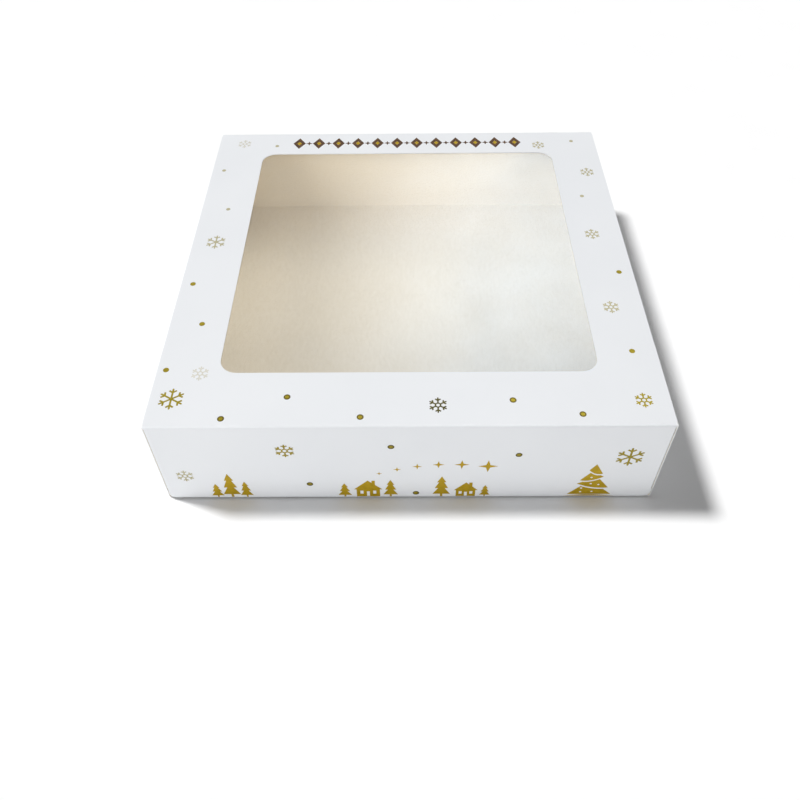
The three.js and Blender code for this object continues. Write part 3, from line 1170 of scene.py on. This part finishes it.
def area_light(name, place, size, power, lit, colour=(1, 1, 1), shadow=True):
    """A square lamp with its width in metres and its power in watts."""
    data = bpy.data.lights.new(name, "AREA")
    data.use_shadow = shadow
    data.size = size
    data.energy = power
    data.color = colour
    add_lamp(data, place, lit)


def sun_light(name, place, softness, strength, lit):
    """A sun on the side of a place, with its width in degrees."""
    data = bpy.data.lights.new(name, "SUN")
    data.angle = math.radians(softness)
    data.energy = strength
    add_lamp(data, place, lit)


def background_ray(tree):
    """1 for rays that show the background: straight, mirrored or through glass."""
    path = tree.nodes.new("ShaderNodeLightPath")
    shown = math_node(tree, "ADD", path.outputs["Is Camera Ray"], path.outputs["Is Glossy Ray"])
    return math_node(tree, "ADD", shown, path.outputs["Is Transmission Ray"])


def stage_floor():
    reach = FLOOR_REACH
    mesh = bpy.data.meshes.new("floor")
    corners = [(-reach, -reach, 0), (reach, -reach, 0), (reach, reach, 0), (-reach, reach, 0)]
    mesh.from_pydata(corners, [], [(0, 1, 2, 3)])
    material, tree, shader = new_material("floor_paper")
    tone = ramp(tree, noise(tree, 30), (0.93, 0.93, 0.93), (0.95, 0.95, 0.95))
    tree.links.new(tone, shader.inputs["Base Color"])
    shader.inputs["Roughness"].default_value = 0.9
    shader.inputs["Emission Color"].default_value = (1, 1, 1, 1)
    glow = math_node(tree, "MULTIPLY", background_ray(tree), FLOOR_GLOW)
    tree.links.new(glow, shader.inputs["Emission Strength"])
    mesh.materials.append(material)
    floor = bpy.data.objects.new("floor", mesh)
    bpy.context.scene.collection.objects.link(floor)
    return floor


def light_group(name, things, state):
    """What a lamp lights: only these things, or all but these things."""
    group = bpy.data.collections.new(name)
    for thing in things:
        group.objects.link(thing)
    for entry in group.collection_objects:
        entry.light_linking.link_state = state
    return group


def set_world():
    """Even white light. What shows of it, straight or mirrored, is plain white."""
    world = bpy.data.worlds.new("world")
    bpy.context.scene.world = world
    world.use_nodes = True
    tree = world.node_tree
    background = tree.nodes["Background"]
    background.inputs["Color"].default_value = (1, 1, 1, 1)
    strength = math_node(tree, "MULTIPLY_ADD", background_ray(tree), 1 - AMBIENT, AMBIENT)
    tree.links.new(strength, background.inputs["Strength"])


place_camera()
set_world()
floor_sheet = stage_floor()

# The floor, the outside, the tray's inside and the film have lamps of their own
inside_names = ("floor_board", "back_wall_board", "left_inner_board", "right_inner_board")
inside = [bpy.data.objects[name] for name in inside_names]
on_floor = light_group("floor_only", [floor_sheet], "INCLUDE")
on_outside = light_group("outer_boards", [floor_sheet, film_sheet, *inside], "EXCLUDE")
on_inside = light_group("tray_inside", inside, "INCLUDE")
on_film = light_group("film_only", [film_sheet], "INCLUDE")
sun_light("shadow_key", (-1.26, 0.46, 2.30), 8.5, 3.0, on_floor)
area_light("overhead", (0.35, 0.60, 2.20), 0.9, 31.5, on_outside)
area_light("key", (-0.85, 0.25, 1.05), 0.8, 2.0, on_outside)
area_light("fill", (-0.72, -0.90, 0.50), 0.6, 6.6, on_outside)
area_light("window_top", (0.25, -0.55, 2.10), 1.4, 8.2, on_inside)
area_light("window_key", (-0.80, -0.85, 0.70), 0.8, 10.6, on_inside)
area_light("window_back", (1.10, 0.50, 0.70), 0.8, 14.4, on_inside)
area_light("window_front", (0.55, -1.10, 0.50), 0.6, 6.4, on_inside, (1.0, 0.89, 0.70))
area_light("window_left", (-1.20, 0.00, 0.44), 0.6, 5.0, on_inside)
area_light("veil", (0.37, 1.18, 1.20), 0.85, 20, on_film, (0.65, 0.82, 1.0), shadow=False)

bpy.context.scene.view_settings.view_transform = "Standard"
